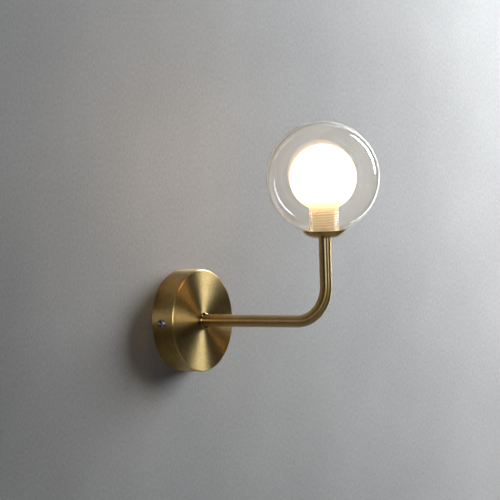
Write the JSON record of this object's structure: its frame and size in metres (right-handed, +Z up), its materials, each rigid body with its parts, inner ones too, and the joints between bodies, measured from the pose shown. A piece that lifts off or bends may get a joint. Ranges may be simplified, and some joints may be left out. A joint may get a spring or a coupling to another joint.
{
  "type": "globe wall sconce",
  "caption": "Wall light with a round brass wall plate, a bent brass arm, a shallow cup and a clear glass globe around a frosted, lit inner ball.",
  "frame": {"origin": "on the wall, at the centre of the bracket's fixing slots, on the axis of the arm's level run", "axes": "+Y into the wall, so that the lamp stands out towards -Y; +Z up, along the lamp axis; +X to the right for someone who faces the wall"},
  "size_m": [0.11, 0.227, 0.2432],
  "materials": {
    "brushed_brass": "satin brass, brushed in circles on the face and around the side",
    "satin_brass": "finely brushed satin brass with a clear lacquer",
    "raw_brass": "bare turned brass",
    "zinc_steel": "zinc-plated steel",
    "bright_screw": "bright nickel-plated screw",
    "tinned_copper": "tinned copper",
    "clear_glass": "clear blown glass, glossy",
    "frosted_glass": "frosted opal glass, lit from inside",
    "white_ceramic": "unglazed steatite, matt",
    "holder_plastic": "moulded heat-resistant plastic, matt",
    "terminal_plastic": "moulded nylon, matt",
    "bush_nylon": "moulded nylon, matt",
    "clear_silicone": "translucent silicone rubber",
    "bulb_diffuser": "milky diffuser, lit",
    "led_board": "white solder mask",
    "led_emitter": "yellow phosphor, lit",
    "brown_wire": "silicone insulation, satin",
    "blue_wire": "silicone insulation, satin",
    "earth_wire_cover": "green and yellow striped insulation, satin"
  },
  "bodies": {
    "fixture": {"wall_bracket": "zinc_steel", "canopy": "brushed_brass", "terminal_block": "terminal_plastic", "terminal_inserts": "raw_brass", "terminal_screws": "zinc_steel", "terminal_block_screw": "zinc_steel", "earth_screw": "raw_brass", "earth_lug_bracket": "tinned_copper", "earth_lug_arm": "tinned_copper", "base_nipple": "zinc_steel", "canopy_lock_washer": "zinc_steel", "canopy_nut": "zinc_steel", "wire_bushes": "bush_nylon", "arm_collar": "satin_brass", "arm_tube": "satin_brass", "top_nipple": "zinc_steel", "cup": "satin_brass", "cup_nut": "zinc_steel", "holder_cap": "zinc_steel", "holder_lock_washer": "zinc_steel", "holder_nut": "zinc_steel", "holder_sleeve": "holder_plastic", "lampholder_body": "white_ceramic", "lampholder_contacts": "raw_brass", "live_wire": "brown_wire", "neutral_wire": "blue_wire", "earth_wire": "earth_wire_cover"},
    "left_screw": {"left_side_screw": "bright_screw"},
    "right_screw": {"right_side_screw": "bright_screw"},
    "shade_seat": {"shade_gasket": "clear_silicone"},
    "shade": {"inner_globe": "frosted_glass", "outer_globe": "clear_glass"},
    "bulb": {"bulb_base": "white_ceramic", "bulb_pins": "tinned_copper", "bulb_cover": "bulb_diffuser", "bulb_board": "led_board", "bulb_leds": "led_emitter"}
  },
  "joints": [
    {"name": "shade_turn", "type": "hinge", "parent": "shade_seat", "child": "shade", "pos_m": [0, -0.172, 0.1], "axis": [0, 0, 1], "range_deg": [0, 2160]},
    {"name": "shade_rise", "type": "slide", "parent": "fixture", "child": "shade_seat", "axis": [0, 0, 1], "range_m": [0, 0.015]},
    {"name": "bulb_pull", "type": "slide", "parent": "fixture", "child": "bulb", "axis": [0, 0, 1], "range_m": [0, 0.0125]},
    {"name": "left_screw_slide", "type": "slide", "parent": "fixture", "child": "left_screw", "axis": [-1, 0, 0], "range_m": [0, 0.008]},
    {"name": "right_screw_slide", "type": "slide", "parent": "fixture", "child": "right_screw", "axis": [1, 0, 0], "range_m": [0, 0.008]}
  ],
  "couplings": [
    {"joint": "shade_rise", "follows": "shade_turn", "m_per_rad": 0.00039789}
  ]
}
